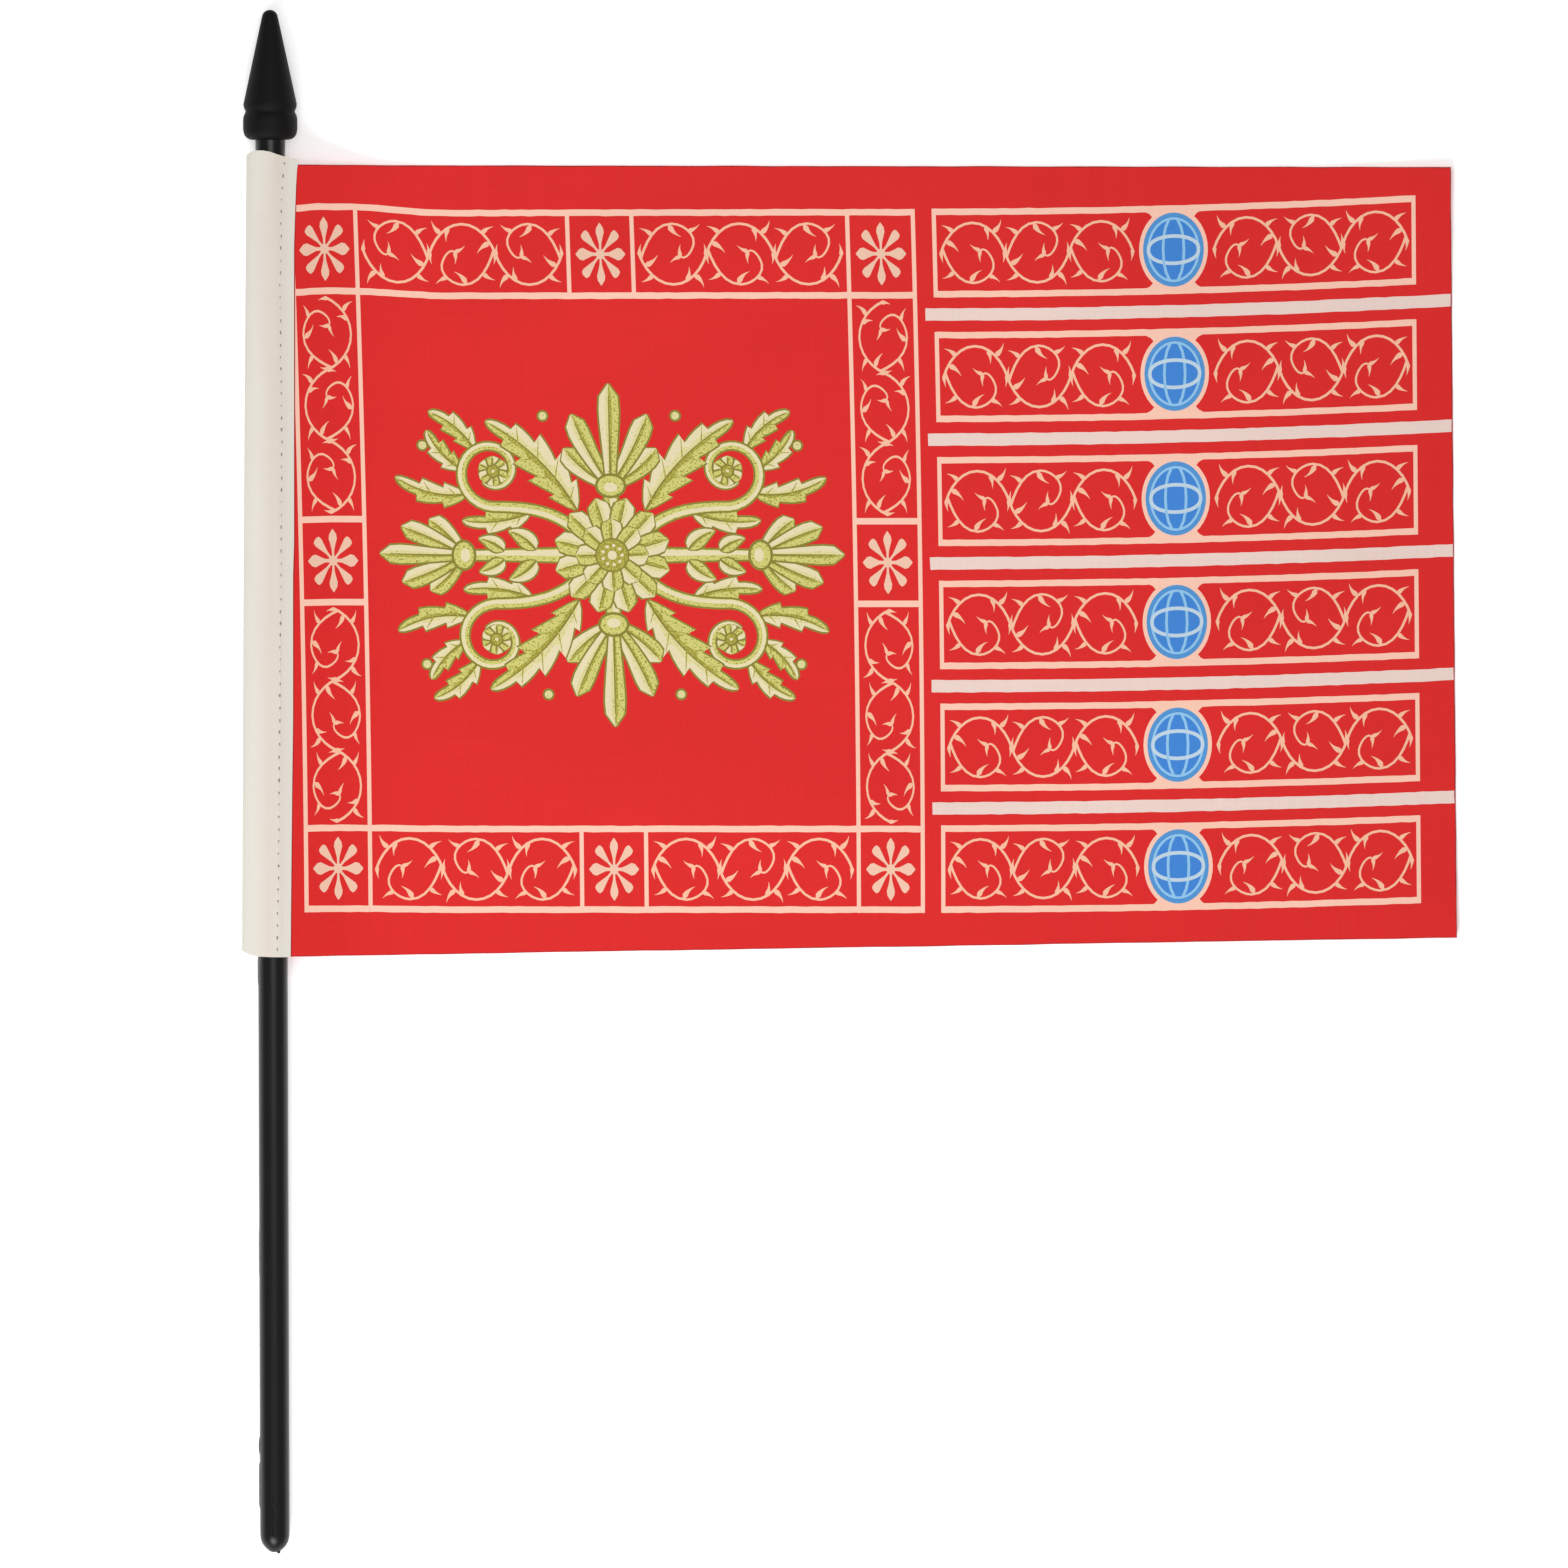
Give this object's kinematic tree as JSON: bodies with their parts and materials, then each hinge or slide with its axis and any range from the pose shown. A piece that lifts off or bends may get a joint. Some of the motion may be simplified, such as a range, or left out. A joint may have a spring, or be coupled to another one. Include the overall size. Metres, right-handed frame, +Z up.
{
  "type": "table flag and its stick",
  "caption": "Small printed cloth flag sewn to a tape sleeve on a moulded stick with a spear tip, lying face up.",
  "frame": {"origin": "bottom centre of the whole flag's box, on the surface that it lies on", "axes": "+Y along the stick towards the spear tip, +X from the stick towards the cloth's free end, +Z up, out of the printed face"},
  "size_m": [0.231, 0.293, 0.0103],
  "materials": {
    "plastic": "moulded, satin gloss",
    "tape": "cream ribbed tape, matte",
    "cloth": "printed polyester, slight sheen"
  },
  "bodies": {
    "root": {"stick": "plastic", "sleeve_tape": "tape", "cloth_panel": "cloth"}
  },
  "joints": []
}
